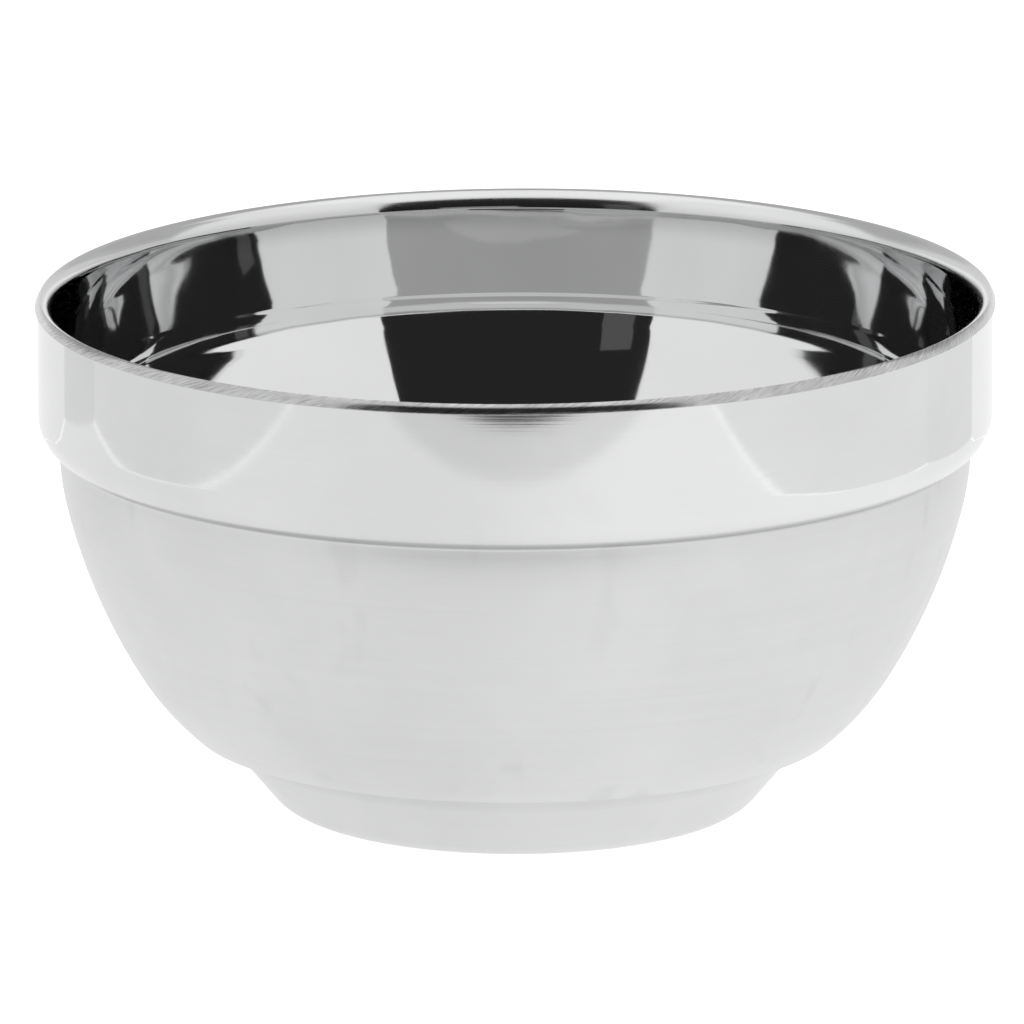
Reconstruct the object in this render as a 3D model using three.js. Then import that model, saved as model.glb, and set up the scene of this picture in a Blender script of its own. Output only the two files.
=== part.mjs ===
// Double-walled stainless steel shaving bowl.
//
// Millimetres, +Z up. The origin is the centre of the flat ring that the bowl stands on.
// Five pieces, all turned about Z: an outer shell, an inner shell whose lip flares out over the
// outer shell's edge, the ground weld that joins the two at the rim, a round cap that closes the
// outer shell's underside, and the weld bead that holds the cap.

import * as THREE from "three";

// Driving dimensions.
const SEGMENTS = 40;
const SHEET = 0.4;

// Outer shell, outside face, from the top edge down to the vent in the base.
const BAND_RADIUS = 57.2;
const BAND_TOP = 61.2;
const BAND_BOTTOM = 48.25;
const STEP_RADIUS = 4.15;
const STEP_TURN = 63.5;
const CREASE_RADIUS = 0.5;
const BODY_ARCS = [
  { radius: 28.5, turn: 13.6, steps: 3 },
  { radius: 70.0, turn: 17.7, steps: 4 },
  { radius: 32.3, turn: 18.2, steps: 4 },
];
const FOOT_EDGE_RADIUS = 0.6;
const FOOT_SLOPE = 39.8;
const FOOT_NECK_RADIUS = 0.6;
const HEEL_RADIUS = 5.2;
const STAND_OUTER_RADIUS = 25.4;
const STAND_INNER_RADIUS = 22.6;
const RECESS_CORNER_RADIUS = 0.8;
const RECESS_TURN = 50;
const RECESS_DEPTH = 0.9;
const VENT_RADIUS = 1.5;

// Inner shell, inside face, from the rim's crest down to the middle of the floor. The lip opens
// out into a straight band with a little draft, which ends in a shallow tool mark and a soft bend.
const CREST_RADIUS = 56.9;
const CREST_HEIGHT = 62.49;
const LIP_ARCS = [
  { radius: 1.53, turn: 44, steps: 3 },
  { radius: 2.93, turn: 19, steps: 2 },
  { radius: 4.2, turn: 11, steps: 1 },
];
const INNER_DRAFT = 3.1;
const INNER_BAND_BOTTOM = 49.95;
const TOOL_MARK_IN = { radius: 1.5, turn: 4.6, steps: 1 };
const TOOL_MARK_FLAT = 0.35;
const TOOL_MARK_OUT = { radius: 1.5, turn: -3.6, steps: 1 };
const INNER_BEND_ARCS = [
  { radius: 15.2, turn: 12.5, steps: 3 },
  { radius: 12.1, turn: -2.2, steps: 1 },
];
const INNER_WALL_ARC = { radius: 51.3, turn: 16.6, steps: 4 };
const INNER_FLOOR_RADIUS = 35.6;
const INNER_FLOOR_STEPS = 7;

// Rim weld, ground to a bevel that stands just proud of the band.
const BEVEL_RADIUS = 57.5;
const BEVEL_BOTTOM = 61.57;
const BEVEL_EDGE = 61.35;
const BEVEL_SHOULDER = [57.12, 62.32];
const WELD_ROOT = 61.45;

// Cap in the recess of the base, and its bead.
const CAP_RADIUS = 20.6;
const CAP_THICKNESS = 0.45;
const CAP_CHAMFER = 0.15;

const radians = (angle) => (angle * Math.PI) / 180;
const degrees = (angle) => (angle * 180) / Math.PI;

// A profile drawn like a pen on paper, as points [radius, height]. The heading is 0 when the pen
// moves straight down, 90 when it moves towards the axis and 180 when it moves straight up.
class Profile {
  constructor(radius, height, heading = 0) {
    this.radius = radius;
    this.height = height;
    this.heading = radians(heading);
    this.points = [[radius, height]];
  }

  moveTo(radius, height) {
    this.radius = radius;
    this.height = height;
    this.points.push([radius, height]);
    return this;
  }

  line(length) {
    const radius = this.radius - length * Math.sin(this.heading);
    const height = this.height - length * Math.cos(this.heading);
    return this.moveTo(radius, height);
  }

  lineToRadius(radius) {
    return this.line((this.radius - radius) / Math.sin(this.heading));
  }

  lineToHeight(height) {
    return this.line((this.height - height) / Math.cos(this.heading));
  }

  // An arc that stays tangent to the line before it. A positive turn bends towards the axis.
  arc(radius, turn, steps) {
    const side = Math.sign(turn);
    for (let i = 0; i < steps; i += 1) {
      const next = this.heading + radians(turn) / steps;
      const inward = side * radius * (Math.cos(this.heading) - Math.cos(next));
      const down = side * radius * (Math.sin(next) - Math.sin(this.heading));
      this.heading = next;
      this.moveTo(this.radius - inward, this.height - down);
    }
    return this;
  }
}

// The same profile moved sideways by a distance. Positive is towards the axis for a pen that
// moves down.
function offset(points, distance) {
  return points.map((point, i) => {
    const before = points[Math.max(i - 1, 0)];
    const after = points[Math.min(i + 1, points.length - 1)];
    const first = unitNormal(before, i > 0 ? point : after);
    const second = unitNormal(i < points.length - 1 ? point : before, after);
    const scale = distance / (1 + first[0] * second[0] + first[1] * second[1]);
    return [point[0] + (first[0] + second[0]) * scale, point[1] + (first[1] + second[1]) * scale];
  });
}

function unitNormal(from, to) {
  const alongRadius = to[0] - from[0];
  const alongHeight = to[1] - from[1];
  const length = Math.hypot(alongRadius, alongHeight);
  return [alongHeight / length, -alongRadius / length];
}

// Turns a closed outline of [radius, height] points about Z. The outline runs anticlockwise, with
// the radius to the right and the height up.
function turned(name, outline, material) {
  const closed = [...outline, outline[0]];
  const geometry = new THREE.LatheGeometry(
    closed.map(([radius, height]) => new THREE.Vector2(radius, height)),
    SEGMENTS,
  );
  geometry.rotateX(Math.PI / 2);
  const mesh = new THREE.Mesh(geometry, material);
  mesh.name = name;
  return mesh;
}

const steel = (color, roughness) =>
  new THREE.MeshStandardMaterial({ color, roughness, metalness: 1 });

// Outside face of the outer shell: band, rounded step, belly, undercut edge, foot and recess.
function outerFace() {
  const bodyTurn = BODY_ARCS.reduce((sum, arc) => sum + arc.turn, 0);
  const profile = new Profile(BAND_RADIUS, BAND_TOP);
  profile.lineToHeight(BAND_BOTTOM);
  profile.arc(STEP_RADIUS, STEP_TURN, 5);
  profile.arc(CREASE_RADIUS, -STEP_TURN, 2);
  for (const { radius, turn, steps } of BODY_ARCS) {
    profile.arc(radius, turn, steps);
  }
  profile.arc(FOOT_EDGE_RADIUS, 90 - bodyTurn, 2);

  // The foot's slope is placed from the heel, which rolls into the flat that the bowl stands on.
  const slope = radians(FOOT_SLOPE);
  const heelTop = HEEL_RADIUS * (1 - Math.sin(slope));
  const heelRadius = STAND_OUTER_RADIUS + HEEL_RADIUS * Math.cos(slope);
  const slopeAtLedge = heelRadius + (profile.height - heelTop) * Math.tan(slope);
  const neckTangent = FOOT_NECK_RADIUS * Math.tan(radians((90 - FOOT_SLOPE) / 2));
  profile.lineToRadius(slopeAtLedge + neckTangent);
  profile.arc(FOOT_NECK_RADIUS, FOOT_SLOPE - 90, 2);
  profile.lineToHeight(heelTop);
  profile.arc(HEEL_RADIUS, 90 - FOOT_SLOPE, 4);
  profile.lineToRadius(STAND_INNER_RADIUS);

  // The recess climbs to a flat panel with a vent in the middle.
  const turn = radians(RECESS_TURN);
  const cornerRise = RECESS_CORNER_RADIUS * (1 - Math.cos(turn));
  profile.arc(RECESS_CORNER_RADIUS, RECESS_TURN, 2);
  profile.line((RECESS_DEPTH - 2 * cornerRise) / Math.sin(turn));
  profile.arc(RECESS_CORNER_RADIUS, -RECESS_TURN, 2);
  profile.lineToRadius(VENT_RADIUS);
  return profile.points;
}

// Inside face of the inner shell: flared lip, band, tool mark, bend and bowl.
function innerFace() {
  const lipTurn = LIP_ARCS.reduce((sum, arc) => sum + arc.turn, 0);
  const profile = new Profile(CREST_RADIUS, CREST_HEIGHT, lipTurn + INNER_DRAFT);
  for (const { radius, turn, steps } of LIP_ARCS) {
    profile.arc(radius, -turn, steps);
  }
  profile.lineToHeight(INNER_BAND_BOTTOM);
  profile.arc(TOOL_MARK_IN.radius, TOOL_MARK_IN.turn, TOOL_MARK_IN.steps);
  profile.line(TOOL_MARK_FLAT);
  profile.arc(TOOL_MARK_OUT.radius, TOOL_MARK_OUT.turn, TOOL_MARK_OUT.steps);
  for (const { radius, turn, steps } of [...INNER_BEND_ARCS, INNER_WALL_ARC]) {
    profile.arc(radius, turn, steps);
  }
  profile.arc(INNER_FLOOR_RADIUS, 90 - degrees(profile.heading), INNER_FLOOR_STEPS);
  profile.moveTo(0, profile.height);
  return profile.points;
}

// A sheet's outline: one face, and the other face a sheet thickness away.
function outerShell() {
  const outside = outerFace();
  const inside = offset(outside, SHEET);
  return turned("outer_shell", [...outside, ...inside.reverse()].reverse(), steel(0xd9dadb, 0.3));
}

function innerShell() {
  const inside = innerFace();
  const outside = offset(inside, -SHEET);
  return turned("inner_shell", [...inside, ...outside.reverse()], steel(0xdedfe0, 0.06));
}

// The weld fills the corner between the lip's cut end, its underside and the band's top edge.
function rimWeld() {
  const inside = innerFace();
  const underside = offset(inside, -SHEET).filter(([, height]) => height > WELD_ROOT);
  const outline = [
    inside[0],
    ...underside,
    [BAND_RADIUS - SHEET, BAND_TOP],
    [BAND_RADIUS, BAND_TOP],
    [BEVEL_RADIUS, BEVEL_EDGE],
    [BEVEL_RADIUS, BEVEL_BOTTOM],
    BEVEL_SHOULDER,
  ];
  return turned("rim_weld", outline, steel(0xb4b5b6, 0.4));
}

function baseCap() {
  const bottom = RECESS_DEPTH - CAP_THICKNESS;
  const outline = [
    [0, bottom],
    [CAP_RADIUS - CAP_CHAMFER, bottom],
    [CAP_RADIUS, bottom + CAP_CHAMFER],
    [CAP_RADIUS, RECESS_DEPTH],
    [0, RECESS_DEPTH],
  ];
  return turned("base_cap", outline, steel(0xcfd0d1, 0.35));
}

function baseWeld() {
  const throat = RECESS_DEPTH - CAP_THICKNESS + CAP_CHAMFER;
  const outline = [
    [CAP_RADIUS, throat],
    [CAP_RADIUS + RECESS_DEPTH - throat, RECESS_DEPTH],
    [CAP_RADIUS, RECESS_DEPTH],
  ];
  return turned("base_weld", outline, steel(0xa9aaab, 0.45));
}

const bowl = new THREE.Group();
bowl.add(outerShell(), innerShell(), rimWeld(), baseCap(), baseWeld());

export default bowl;
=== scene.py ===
"""Looks for the double-walled steel shaving bowl.

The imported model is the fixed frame. Each of its five turned solids is replaced by a finer piece
with the same profile: outer shell, inner shell, ground rim weld, base cap and base weld. Metres,
+Z up, the bowl stands on z = 0 and the camera looks along +Y.
"""

import math

import bpy
import numpy as np
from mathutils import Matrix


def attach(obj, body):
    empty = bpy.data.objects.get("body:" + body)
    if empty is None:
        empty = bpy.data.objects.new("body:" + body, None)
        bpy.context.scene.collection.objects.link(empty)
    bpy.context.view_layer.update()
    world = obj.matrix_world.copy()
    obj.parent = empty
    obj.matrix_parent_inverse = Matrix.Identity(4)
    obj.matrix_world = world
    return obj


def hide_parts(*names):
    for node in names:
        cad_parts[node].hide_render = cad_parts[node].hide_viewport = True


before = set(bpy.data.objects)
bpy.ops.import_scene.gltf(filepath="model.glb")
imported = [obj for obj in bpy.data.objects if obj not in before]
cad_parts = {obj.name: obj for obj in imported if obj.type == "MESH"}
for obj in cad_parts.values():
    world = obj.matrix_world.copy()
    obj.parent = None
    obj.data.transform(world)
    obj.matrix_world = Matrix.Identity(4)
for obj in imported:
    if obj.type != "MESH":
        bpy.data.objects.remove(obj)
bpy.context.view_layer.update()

MM = 0.001
SEGMENTS = 480

# Outer shell, outside face, millimetres and degrees.
SHEET = 0.4
BAND_RADIUS = 57.2
BAND_TOP = 61.2
BAND_BOTTOM = 48.25
STEP_RADIUS = 4.15
STEP_TURN = 63.5
CREASE_RADIUS = 0.5
BODY_ARCS = [(28.5, 13.6), (70.0, 17.7), (32.3, 18.2)]
FOOT_EDGE = 8.2
FOOT_EDGE_RADIUS = 0.6
FOOT_SLOPE = 39.8
FOOT_NECK_RADIUS = 0.6
HEEL_RADIUS = 5.2
STAND_OUTER_RADIUS = 25.4
STAND_INNER_RADIUS = 22.6
RECESS_CORNER_RADIUS = 0.8
RECESS_TURN = 50
RECESS_DEPTH = 0.9
VENT_RADIUS = 1.5

# Inner shell, inside face. The lip's curve opens out as it runs down into the straight band.
CREST_RADIUS = 56.9
CREST_HEIGHT = 62.49
LIP_ARCS = [(1.53, 44), (2.93, 19), (4.2, 11)]
BEVEL_SHOULDER = (57.12, 62.32)
INNER_DRAFT = 3.1
INNER_BAND_BOTTOM = 49.95
TOOL_MARK_ARCS = [(1.5, 4.6), (1.5, -3.6)]
TOOL_MARK_FLAT = 0.35
INNER_BEND_ARCS = [(15.2, 12.5), (12.1, -2.2)]
INNER_ARCS = [(51.3, 16.6)]
INNER_FLOOR_ARC = 35.6

# Rim weld, base cap and its bead.
BEVEL_RADIUS = 57.5
BEVEL_BOTTOM = 61.57
BEVEL_EDGE = 61.35
WELD_ROOT = 61.45
CAP_RADIUS = 20.6
CAP_THICKNESS = 0.45
CAP_CHAMFER = 0.15

RIM_LEAN = 0.35

# Looks: heights in metres, as the shaders read them.
BELLY_FADE = (0.0468, 0.0442)
# Height of the painted shade line along the crease.
CREASE_HEIGHT = 0.0447
LIP_FADE = (0.0602, 0.0616)
# Painted shade: where the dark band under the lip fades in and out.
UNDER_LIP_SHADE = (0.0570, 0.0602)
STEEL_CAST = 0.003


class Profile:
    """A pen that draws [radius, height] points. Heading 0 is down, 90 is towards the axis."""

    def __init__(self, radius, height, heading=0.0):
        self.radius, self.height = radius, height
        self.heading = math.radians(heading)
        self.points = [(radius, height)]

    def move_to(self, radius, height):
        self.radius, self.height = radius, height
        self.points.append((radius, height))
        return self

    def line(self, length, steps=1):
        for _ in range(steps):
            self.move_to(
                self.radius - length / steps * math.sin(self.heading),
                self.height - length / steps * math.cos(self.heading),
            )
        return self

    def line_to_radius(self, radius, steps=1):
        return self.line((self.radius - radius) / math.sin(self.heading), steps)

    def line_to_height(self, height, steps=1):
        return self.line((self.height - height) / math.cos(self.heading), steps)

    def arc(self, radius, turn, longest=0.9, finest=4.0):
        """A tangent arc, in steps no longer than longest millimetres or finest degrees."""
        length = abs(radius * math.radians(turn))
        steps = max(2, math.ceil(length / longest), math.ceil(abs(turn) / finest))
        side = math.copysign(1, turn)
        for _ in range(steps):
            after = self.heading + math.radians(turn) / steps
            inward = side * radius * (math.cos(self.heading) - math.cos(after))
            down = side * radius * (math.sin(after) - math.sin(self.heading))
            self.heading = after
            self.move_to(self.radius - inward, self.height - down)
        return self


def offset(points, distance):
    """The profile moved sideways, towards the axis for a pen that moves down."""
    p = np.array(points, float)
    d = np.diff(p, axis=0)
    n = np.stack([d[:, 1], -d[:, 0]], 1) / np.linalg.norm(d, axis=1)[:, None]
    before, after = np.vstack([n[:1], n]), np.vstack([n, n[-1:]])
    scale = distance / (1 + (before * after).sum(1))
    return [tuple(q) for q in p + (before + after) * scale[:, None]]


def outer_face():
    pen = Profile(BAND_RADIUS, BAND_TOP)
    pen.line_to_height(BAND_BOTTOM, 12)
    pen.arc(STEP_RADIUS, STEP_TURN)
    pen.arc(CREASE_RADIUS, -STEP_TURN, finest=8)
    for radius, turn in BODY_ARCS:
        pen.arc(radius, turn)
    pen.arc(FOOT_EDGE_RADIUS, 90 - sum(turn for _, turn in BODY_ARCS), finest=6)
    slope = math.radians(FOOT_SLOPE)
    heel_top = HEEL_RADIUS * (1 - math.sin(slope))
    heel = STAND_OUTER_RADIUS + HEEL_RADIUS * math.cos(slope)
    neck = heel + (pen.height - heel_top) * math.tan(slope)
    pen.line_to_radius(neck + FOOT_NECK_RADIUS * math.tan(math.radians((90 - FOOT_SLOPE) / 2)), 2)
    pen.arc(FOOT_NECK_RADIUS, FOOT_SLOPE - 90, finest=6)
    pen.line_to_height(heel_top, 8)
    pen.arc(HEEL_RADIUS, 90 - FOOT_SLOPE)
    pen.line_to_radius(STAND_INNER_RADIUS, 3)
    turn = math.radians(RECESS_TURN)
    rise = RECESS_CORNER_RADIUS * (1 - math.cos(turn))
    pen.arc(RECESS_CORNER_RADIUS, RECESS_TURN)
    pen.line((RECESS_DEPTH - 2 * rise) / math.sin(turn))
    pen.arc(RECESS_CORNER_RADIUS, -RECESS_TURN)
    pen.line_to_radius(VENT_RADIUS, 12)
    return pen.points


def inner_face():
    lip_turn = sum(turn for _, turn in LIP_ARCS)
    pen = Profile(CREST_RADIUS, CREST_HEIGHT, lip_turn + INNER_DRAFT)
    for radius, turn in LIP_ARCS:
        pen.arc(radius, -turn, longest=0.12)
    pen.line_to_height(INNER_BAND_BOTTOM, 12)
    mark_in, mark_out = TOOL_MARK_ARCS
    pen.arc(*mark_in, longest=0.06)
    pen.line(TOOL_MARK_FLAT, 2)
    pen.arc(*mark_out, longest=0.06)
    for radius, turn in INNER_BEND_ARCS:
        pen.arc(radius, turn, longest=0.3)
    for radius, turn in INNER_ARCS:
        pen.arc(radius, turn)
    pen.arc(INNER_FLOOR_ARC, 90 - math.degrees(pen.heading))
    floor = pen.radius
    for i in range(1, 16):
        pen.move_to(floor * (1 - i / 16), pen.height)
    pen.move_to(0.0, pen.height)
    return pen.points


def lean(x, height):
    """The rim of a spun bowl is never quite true: it climbs a little towards +X."""
    rise = np.clip(height / BAND_TOP, 0, 1)
    return x * math.tan(math.radians(RIM_LEAN)) * rise * rise


def turned(name, outline, shape=None):
    """Turns a closed outline of (radius, height) points about Z, with its seam at the back."""
    points = np.array(outline, float)
    rings = len(points)
    around = np.arange(SEGMENTS) * (2 * math.pi / SEGMENTS) + math.pi / 2
    radius = np.repeat(points[:, :1], SEGMENTS, 1)
    height = np.repeat(points[:, 1:], SEGMENTS, 1)
    if shape:
        radius, height = shape(radius, height, around[None, :])
    height = height + lean(radius * np.cos(around[None, :]), height)
    vertices, index = [], np.zeros((rings, SEGMENTS), int)
    for ring in range(rings):
        if points[ring, 0] < 1e-6:
            index[ring] = len(vertices)
            vertices.append((0.0, 0.0, float(height[ring].mean()) * MM))
            continue
        index[ring] = len(vertices) + np.arange(SEGMENTS)
        r = radius[ring] * MM
        vertices.extend(
            zip(
                (r * np.cos(around)).tolist(),
                (r * np.sin(around)).tolist(),
                (height[ring] * MM).tolist(),
            )
        )
    along = np.concatenate(
        [[0], np.cumsum(np.linalg.norm(np.diff(points[list(range(rings)) + [0]], axis=0), axis=1))]
    )
    along /= along[-1]
    faces, uvs = [], []
    for ring in range(rings):
        upper, lower = index[ring], index[(ring + 1) % rings]
        v = (along[ring], along[ring + 1])
        pole_here, pole_next = upper[0] == upper[1], lower[0] == lower[1]
        if pole_here and pole_next:
            continue
        for s in range(SEGMENTS):
            t = (s + 1) % SEGMENTS
            corners = [
                (upper[s], s, v[0]),
                (lower[s], s, v[1]),
                (lower[t], s + 1, v[1]),
                (upper[t], s + 1, v[0]),
            ]
            if pole_next:
                corners.pop(2)
            elif pole_here:
                corners.pop(3)
            faces.append([int(c[0]) for c in corners])
            uvs.extend((c[1] / SEGMENTS, c[2]) for c in corners)
    mesh = bpy.data.meshes.new(name)
    mesh.from_pydata(vertices, [], faces)
    layer = mesh.uv_layers.new(name="OFBake")
    layer.data.foreach_set("uv", np.array(uvs, np.float32).ravel())
    mesh.polygons.foreach_set("use_smooth", [True] * len(mesh.polygons))
    mesh.set_sharp_from_angle(angle=math.radians(32))
    mesh.validate()
    obj = bpy.data.objects.new(name, mesh)
    bpy.context.scene.collection.objects.link(obj)
    return obj


class Shader:
    """A material's node tree, built with short calls. Inputs are values or output sockets."""

    def __init__(self, name):
        self.material = bpy.data.materials.new(name)
        self.material.use_nodes = True
        self.tree = self.material.node_tree
        self.tree.nodes.clear()
        self.output = self.tree.nodes.new("ShaderNodeOutputMaterial")

    def node(self, kind, inputs=(), **settings):
        node = self.tree.nodes.new("ShaderNode" + kind)
        for key, value in settings.items():
            setattr(node, key, value)
        for key, value in dict(inputs).items():
            self.feed(node.inputs[key], value)
        return node

    def feed(self, socket, value):
        if isinstance(value, bpy.types.NodeSocket):
            self.tree.links.new(value, socket)
        else:
            socket.default_value = value

    def math(self, operation, a, b=0.0, c=0.0):
        return self.node("Math", {0: a, 1: b, 2: c}, operation=operation).outputs[0]

    def remap(self, value, low, high, to_low, to_high, smooth=False):
        return self.node(
            "MapRange",
            {
                "Value": value,
                "From Min": low,
                "From Max": high,
                "To Min": to_low,
                "To Max": to_high,
            },
            interpolation_type="SMOOTHSTEP" if smooth else "LINEAR",
            clamp=True,
        ).outputs[0]

    def combine(self, x, y, z):
        return self.node("CombineXYZ", {0: x, 1: y, 2: z}).outputs[0]

    def noise(self, vector, scale=1.0, detail=2.0, roughness=0.5, distortion=0.0):
        return self.node(
            "TexNoise",
            {
                "Vector": vector,
                "Scale": scale,
                "Detail": detail,
                "Roughness": roughness,
                "Distortion": distortion,
            },
        ).outputs["Fac"]

    def place(self):
        """Object coordinates, and the parts x, y, z."""
        vector = self.node("TexCoord").outputs["Object"]
        split = self.node("SeparateXYZ", {0: vector})
        return vector, *split.outputs[:3]

    def stretched(self, vector, x, y, z):
        return self.node("VectorMath", {0: vector, 1: (x, y, z)}, operation="MULTIPLY").outputs[0]

    def mix_value(self, factor, a, b):
        return self.node("Mix", {"Factor": factor, "A": a, "B": b}, data_type="FLOAT").outputs[0]

    def bump(self, height, strength, distance, normal=None):
        inputs = {"Height": height, "Strength": strength, "Distance": distance}
        if normal is not None:
            inputs["Normal"] = normal
        return self.node("Bump", inputs).outputs[0]

    def grey(self, value):
        """A grey colour with the faint cool cast of stainless steel."""
        red = self.math("MULTIPLY", value, 1 - STEEL_CAST)
        blue = self.math("MULTIPLY", value, 1 + STEEL_CAST)
        return self.node("CombineColor", {0: red, 1: value, 2: blue}).outputs[0]

    def steel(self, colour, roughness, normal):
        inputs = {
            "Base Color": colour,
            "Metallic": 1.0,
            "Roughness": roughness,
            "Normal": normal,
        }
        node = self.node("BsdfPrincipled", inputs)
        self.tree.links.new(node.outputs[0], self.output.inputs["Surface"])
        return self.material


def satin_steel():
    """Outer shell: a buffed band over a brushed belly, with painted shade at the crease, the foot
    line and towards -X.
    """
    s = Shader("satin_steel_outer_shell")
    vector, x, y, z = s.place()
    belly = s.remap(z, *BELLY_FADE, 0.0, 1.0, smooth=True)
    brush = s.noise(s.stretched(vector, 24, 24, 5200), detail=3.0, roughness=0.65)
    coarse = s.noise(s.stretched(vector, 16, 16, 1500), detail=3.0, roughness=0.6)
    cloud = s.noise(vector, scale=46, detail=4.0, roughness=0.6, distortion=0.5)
    # Painted shade: the -X side is darkened, the band more than the belly.
    left = s.remap(x, 0.020, -0.016, 0.0, 1.0, smooth=True)
    # Painted shade: a mottled dark line along the crease under the band.
    crease = s.math("ABSOLUTE", s.math("SUBTRACT", z, CREASE_HEIGHT))
    crease = s.remap(crease, 0.0006, 0.0001, 0.0, 1.0, smooth=True)
    # Painted shade: a faint dark line at the foot's edge.
    neck = s.math("ABSOLUTE", s.math("SUBTRACT", z, FOOT_EDGE * MM))
    neck = s.remap(neck, 0.0016, 0.0, 0.0, 1.0, smooth=True)
    smudge = s.noise(s.stretched(vector, 150, 150, 60), detail=2.0, roughness=0.5)
    smudge = s.remap(smudge, 0.60, 0.78, 0.0, 1.0, smooth=True)
    lines = s.math("ADD", s.math("MULTIPLY", brush, 0.5), s.math("MULTIPLY", coarse, 0.5))
    streak = s.math("MULTIPLY", s.math("SUBTRACT", lines, 0.5), s.mix_value(belly, 0.03, 0.07))
    drift = s.math("MULTIPLY", s.math("SUBTRACT", cloud, 0.5), 0.10)
    stain = s.math("MULTIPLY", smudge, s.mix_value(belly, -0.01, -0.045))
    level = s.math("ADD", s.mix_value(belly, 0.79, 0.685), streak)
    level = s.math("ADD", s.math("ADD", level, drift), stain)
    # Painted shade on the -X side.
    level = s.math("ADD", level, s.math("MULTIPLY", left, s.mix_value(belly, -0.09, -0.045)))
    # Painted shade along the crease.
    level = s.math("ADD", level, s.math("MULTIPLY", crease, s.math("MULTIPLY", cloud, -0.28)))
    # Painted shade at the foot line.
    level = s.math("ADD", level, s.math("MULTIPLY", neck, -0.05))
    rough = s.math("ADD", s.mix_value(belly, 0.02, 0.32), s.math("MULTIPLY", lines, 0.05))
    normal = s.bump(lines, s.mix_value(belly, 0.04, 0.22), 0.00002)
    return s.steel(s.grey(level), rough, normal)


def mirror_steel():
    """Inner shell: mirror polish with a soft haze, duller on the lip, with painted shade just under
    it.
    """
    s = Shader("mirror_steel_inner_shell")
    vector, x, y, z = s.place()
    cloud = s.noise(vector, scale=46, detail=3.0, roughness=0.5)
    haze = s.noise(s.stretched(vector, 90, 90, 30), detail=3.0, roughness=0.55)
    hair = s.noise(s.stretched(vector, 10, 10, 6000), detail=2.0, roughness=0.6)
    level = s.remap(cloud, 0.3, 0.7, 0.78, 0.82)
    lip = s.remap(z, *LIP_FADE, 0.0, 1.0, smooth=True)
    # Painted shade: a dark band just under the lip.
    under = s.math("SUBTRACT", s.remap(z, *UNDER_LIP_SHADE, 0.0, 1.0, smooth=True), lip)
    level = s.math("SUBTRACT", level, s.math("MULTIPLY", s.math("MAXIMUM", under, 0.0), 0.22))
    rough = s.math("ADD", s.remap(haze, 0.45, 0.75, 0.025, 0.06), s.math("MULTIPLY", hair, 0.01))
    rough = s.math("ADD", rough, s.math("MULTIPLY", lip, 0.13))
    normal = s.bump(cloud, 0.12, 0.0004)
    normal = s.bump(hair, 0.02, 0.00001, normal)
    return s.steel(s.grey(level), rough, normal)


def ground_steel():
    """Rim weld: ground across the seam, with slanting scratches from the belt."""
    s = Shader("ground_steel_rim_weld")
    vector, x, y, z = s.place()
    angle = s.math("ARCTAN2", y, x)
    along = s.math("MULTIPLY", angle, BEVEL_RADIUS)
    down = s.math("MULTIPLY", z, 1 / MM)
    slant = s.math("SUBTRACT", along, s.math("MULTIPLY", down, 2.6))
    grain = s.combine(s.math("MULTIPLY", slant, 3.4), down, 0.0)
    scratch = s.noise(grain, detail=4.0, roughness=0.7)
    patch = s.noise(s.combine(s.math("MULTIPLY", along, 0.12), 0.0, 0.0), detail=3.0, roughness=0.6)
    shade = s.remap(patch, 0.3, 0.7, -0.08, 0.08)
    level = s.math("ADD", s.remap(scratch, 0.3, 0.7, 0.34, 0.74), shade)
    rough = s.remap(scratch, 0.3, 0.7, 0.10, 0.26)
    normal = s.bump(scratch, 0.3, 0.00002)
    return s.steel(s.grey(level), rough, normal)


def base_steel():
    """Base cap: faced on a lathe, in fine rings."""
    s = Shader("base_steel_base_cap")
    vector, x, y, z = s.place()
    radius = s.math("SQRT", s.math("ADD", s.math("MULTIPLY", x, x), s.math("MULTIPLY", y, y)))
    across, along = s.math("MULTIPLY", x, 9), s.math("MULTIPLY", y, 9)
    grain = s.combine(s.math("MULTIPLY", radius, 4200), across, along)
    rings = s.noise(grain, detail=3.0, roughness=0.6)
    cloud = s.noise(vector, scale=90, detail=3.0)
    drift = s.remap(cloud, 0.3, 0.7, -0.03, 0.03)
    level = s.math("ADD", s.remap(rings, 0.3, 0.7, 0.66, 0.78), drift)
    normal = s.bump(rings, 0.3, 0.00003)
    return s.steel(s.grey(level), s.remap(rings, 0.3, 0.7, 0.24, 0.36), normal)


def weld_steel():
    """Base bead: dull and mottled."""
    s = Shader("weld_steel_base_weld")
    vector, x, y, z = s.place()
    mottle = s.noise(vector, scale=900, detail=4.0, roughness=0.7)
    tint = s.noise(vector, scale=120, detail=2.0)
    drift = s.remap(tint, 0.3, 0.7, -0.05, 0.05)
    level = s.math("ADD", s.remap(mottle, 0.3, 0.7, 0.40, 0.62), drift)
    return s.steel(s.grey(level), s.remap(mottle, 0.3, 0.7, 0.3, 0.5), s.bump(mottle, 0.4, 0.00006))


def spun_ripple(radius, height, around):
    """The slow, shallow unevenness that spinning leaves in a thin wall, about a hundredth deep."""
    wall = np.clip(radius / 30.0, 0.0, 1.0) * np.clip((60.5 - height) / 3.0, 0.0, 1.0)
    wave = (
        0.010 * np.sin(3 * around + 0.6)
        + 0.006 * np.sin(7 * around + height * 0.1 + 1.9)
        + 0.004 * np.sin(16 * around - height * 0.15 + 4.0)
        + 0.002 * np.sin(31 * around + height * 0.2 + 0.4)
    )
    return radius + wave * wall, height


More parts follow.
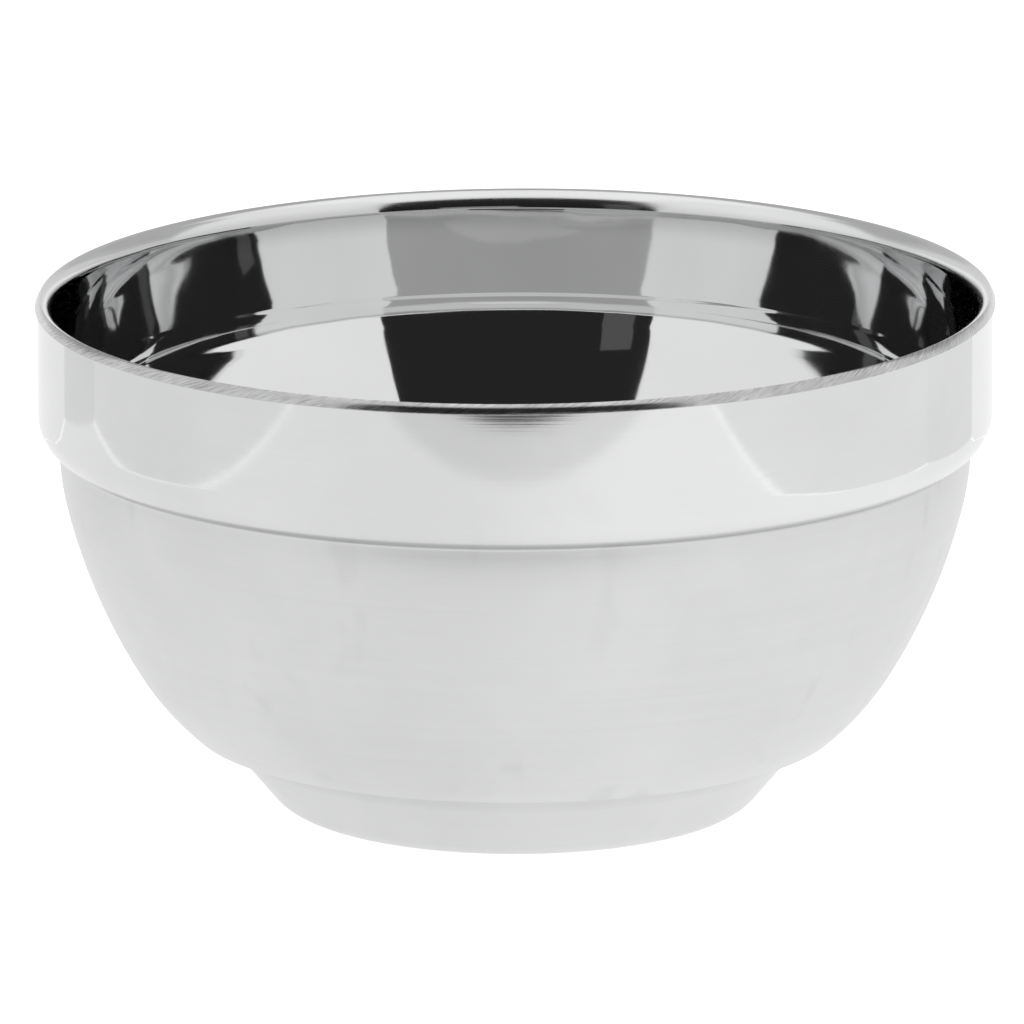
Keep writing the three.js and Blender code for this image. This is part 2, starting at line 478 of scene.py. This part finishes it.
def bead_ripple(radius, height, around):
    """Overlapping puddles along the bead: only its free face moves."""
    free = height < RECESS_DEPTH - 0.01
    puddle = np.abs(np.sin(around * 62 + 0.5 * np.sin(around * 7)))
    return radius + 0.06 * (puddle - 0.6) * free, height - 0.05 * puddle * free


def outer_shell():
    outside = outer_face()
    inside = offset(outside, SHEET)
    return turned("outer_shell_fine", outside + inside[::-1])


def inner_shell():
    inside = inner_face()
    outside = offset(inside, -SHEET)
    outline = inside + outside[::-1]
    return turned("inner_shell_fine", outline[::-1], spun_ripple)


def rim_weld():
    """Fills the corner between the lip's cut end, its underside and the band's top edge."""
    inside = inner_face()
    underside = [p for p in offset(inside, -SHEET) if p[1] > WELD_ROOT]
    outline = (
        [inside[0]]
        + underside
        + [
            (BAND_RADIUS - SHEET, BAND_TOP),
            (BAND_RADIUS, BAND_TOP),
            (BEVEL_RADIUS, BEVEL_EDGE),
            (BEVEL_RADIUS, BEVEL_BOTTOM),
            BEVEL_SHOULDER,
        ]
    )
    return turned("rim_weld_fine", outline[::-1])


def base_cap():
    bottom = RECESS_DEPTH - CAP_THICKNESS
    rings = [(CAP_RADIUS * i / 16, bottom) for i in range(16)]
    outline = rings + [
        (CAP_RADIUS - CAP_CHAMFER, bottom),
        (CAP_RADIUS, bottom + CAP_CHAMFER),
        (CAP_RADIUS, RECESS_DEPTH),
        (0.0, RECESS_DEPTH),
    ]
    return turned("base_cap_fine", outline[::-1])


def base_weld():
    throat = RECESS_DEPTH - CAP_THICKNESS + CAP_CHAMFER
    outline = [
        (CAP_RADIUS, throat),
        (CAP_RADIUS + 0.12, throat + 0.04),
        (CAP_RADIUS + RECESS_DEPTH - throat, RECESS_DEPTH),
        (CAP_RADIUS, RECESS_DEPTH),
    ]
    return turned("base_weld_fine", outline[::-1], bead_ripple)


PIECES = [
    (outer_shell, satin_steel, "outer_shell", "satin_steel"),
    (inner_shell, mirror_steel, "inner_shell", "mirror_steel"),
    (rim_weld, ground_steel, "rim_weld", "ground_steel"),
    (base_cap, base_steel, "base_cap", "base_steel"),
    (base_weld, weld_steel, "base_weld", "weld_steel"),
]
for build, finish, node, slot in PIECES:
    piece = build()
    piece.data.materials.append(finish())
    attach(piece, "root")
    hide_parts(node)


# Studio. A white tent around the bowl, open at the front, where the camera stands.
def glow(name, grey, strength=1.0):
    material = bpy.data.materials.new(name)
    material.use_nodes = True
    tree = material.node_tree
    tree.nodes.clear()
    output = tree.nodes.new("ShaderNodeOutputMaterial")
    emission = tree.nodes.new("ShaderNodeEmission")
    emission.inputs["Color"].default_value = (grey, grey, grey, 1)
    emission.inputs["Strength"].default_value = strength
    tree.links.new(emission.outputs[0], output.inputs["Surface"])
    return material


def card(name, corners, grey):
    """A flat card that shows only in reflections. Corners in millimetres."""
    mesh = bpy.data.meshes.new(name)
    mesh.from_pydata([tuple(c * MM for c in corner) for corner in corners], [], [(0, 1, 2, 3)])
    mesh.materials.append(glow(name, grey))
    obj = bpy.data.objects.new(name, mesh)
    bpy.context.scene.collection.objects.link(obj)
    obj.visible_camera = False
    obj.visible_shadow = False
    obj.visible_diffuse = False
    return obj


TENT_FRONT = -275
TENT_LEFT = -235
TENT_RIGHT = 215
TENT_TOP = 420
BACK_LEFT = (-235, 90)
BACK_RIGHT = (215, 60)
BACK_CORNERS = [BACK_LEFT, (-190, 144), (168, 144), BACK_RIGHT]
OPENING = (-216, 205)
OPENING_BOTTOM = 8
OPENING_TOP = 340
SIDE_GREY = 0.90
LOW_WALL = 62
BACK_GREY = 0.46
BACK_BANDS = [
    (78, 114, 0.74),
    (114, 146, 0.54),
    (146, 300, BACK_GREY),
    (300, TENT_TOP, 0.9),
]
BACK_LOW_GREYS = (0.87, 1.0, 0.87)


def upright(name, start, end, bottom, top, grey):
    (x0, y0), (x1, y1) = start, end
    return card(name, [(x0, y0, bottom), (x1, y1, bottom), (x1, y1, top), (x0, y0, top)], grey)


def flat(name, height, x0, x1, y0, y1, grey):
    return card(
        name, [(x0, y0, height), (x1, y0, height), (x1, y1, height), (x0, y1, height)], grey
    )


front = [(x, TENT_FRONT) for x in (TENT_LEFT, *OPENING, TENT_RIGHT)]
upright("tent_opening", front[1], front[2], OPENING_BOTTOM, OPENING_TOP, 0.02)
upright("tent_front_left", front[0], front[1], OPENING_BOTTOM, TENT_TOP, 0.9)
upright("tent_front_right", front[2], front[3], OPENING_BOTTOM, TENT_TOP, 0.9)
upright("tent_front_top", front[1], front[2], OPENING_TOP, TENT_TOP, 0.9)
for name, start, end, low_grey in (
    ("left", front[0], BACK_LEFT, 0.93),
    ("right", front[3], BACK_RIGHT, 0.89),
):
    upright("tent_low_" + name, start, end, 1, LOW_WALL, low_grey)
    upright("tent_" + name, start, end, LOW_WALL, TENT_TOP, SIDE_GREY)
for i, low_grey in enumerate(BACK_LOW_GREYS):
    span = (BACK_CORNERS[i], BACK_CORNERS[i + 1])
    for bottom, top, grey in [(1, BACK_BANDS[0][0], low_grey), *BACK_BANDS]:
        upright(f"tent_back_{i}_{bottom}", *span, bottom, top, grey)
# Two dim shapes stand just inside the dark opening.
STAND_Y = TENT_FRONT + 6
upright("stand_left", (-178, STAND_Y), (-124, STAND_Y), 60, 175, 0.09)
upright("stand_low", (-4, STAND_Y), (100, STAND_Y), 62, 92, 0.28)
flat("tent_top", TENT_TOP, TENT_LEFT, TENT_RIGHT, TENT_FRONT, 144, 1.0)
flat("table", 0.3, TENT_LEFT, TENT_RIGHT, TENT_FRONT, 144, 1.0)
flat("table_front", 0.3, -700, 700, -1500, TENT_FRONT, 0.84)

# Floor: pale, and lit so evenly that it reads as white.
floor_mesh = bpy.data.meshes.new("floor")
floor_mesh.from_pydata([(-12, -12, 0), (12, -12, 0), (12, 12, 0), (-12, 12, 0)], [], [(0, 1, 2, 3)])
floor = bpy.data.objects.new("floor", floor_mesh)
bpy.context.scene.collection.objects.link(floor)
pale = bpy.data.materials.new("pale_floor")
pale.use_nodes = True
shader = pale.node_tree.nodes["Principled BSDF"]
shader.inputs["Base Color"].default_value = (0.5, 0.5, 0.5, 1)
shader.inputs["Roughness"].default_value = 0.9
shader.inputs["Specular IOR Level"].default_value = 0.0
shader.inputs["Emission Color"].default_value = (1, 1, 1, 1)
shader.inputs["Emission Strength"].default_value = 0.78
floor_mesh.materials.append(pale)

world = bpy.data.worlds.new("studio")
world.use_nodes = True
world.node_tree.nodes["Background"].inputs["Color"].default_value = (1, 1, 1, 1)
world.node_tree.nodes["Background"].inputs["Strength"].default_value = 1.0
bpy.context.scene.world = world
bpy.context.scene.view_settings.view_transform = "Standard"

# Camera: a long lens, slightly above the rim.
camera_data = bpy.data.cameras.new("camera")
camera_data.sensor_width = 36.0
camera_data.lens = 753.9
camera_data.shift_x = -0.0031
camera_data.clip_start = 0.1
camera_data.clip_end = 100.0
camera = bpy.data.objects.new("camera", camera_data)
bpy.context.scene.collection.objects.link(camera)
CAMERA_PITCH = 0.2391227
camera.location = (0.0, -2.5, 0.645092)
camera.rotation_euler = (math.pi / 2 - CAMERA_PITCH, 0.0, 0.0)
bpy.context.scene.camera = camera
